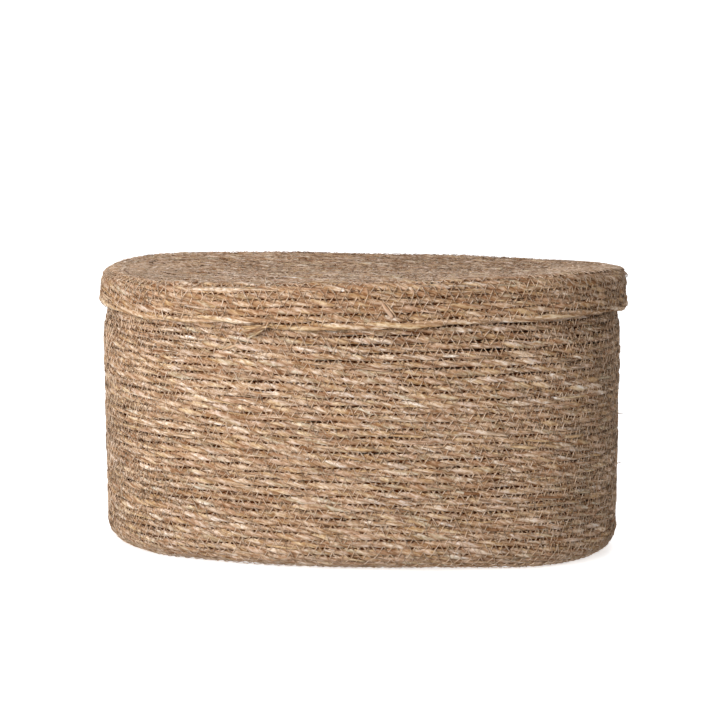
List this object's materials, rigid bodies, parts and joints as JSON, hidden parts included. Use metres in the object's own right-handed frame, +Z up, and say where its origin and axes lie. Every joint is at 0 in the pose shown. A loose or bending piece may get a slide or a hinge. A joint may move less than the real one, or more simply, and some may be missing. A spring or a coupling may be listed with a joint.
{
  "type": "coiled basket",
  "caption": "Oval storage basket of coiled, sewn seagrass cord with straight walls, a rounded foot and a lift-off lid with a deep skirt.",
  "frame": {"origin": "centre of the flat underside of the floor", "axes": "+X along the long axis, -Y towards the front where the lid's cord ends, +Z up along the way the lid lifts"},
  "size_m": [0.4376, 0.238, 0.2308],
  "materials": {
    "seagrass": "dry, matt plant fibre"
  },
  "bodies": {
    "basket": {"floor_coil": "seagrass", "heel_turns": "seagrass", "wall_coil": "seagrass", "neck_turns": "seagrass", "rim_turn": "seagrass"},
    "lid": {"crown_coil": "seagrass", "shoulder_turns": "seagrass", "skirt_coil": "seagrass", "edge_turn": "seagrass"}
  },
  "joints": [
    {"name": "lid_lift", "type": "slide", "parent": "basket", "child": "lid", "axis": [0, 0, 1], "range_m": [0, 0.12]}
  ]
}
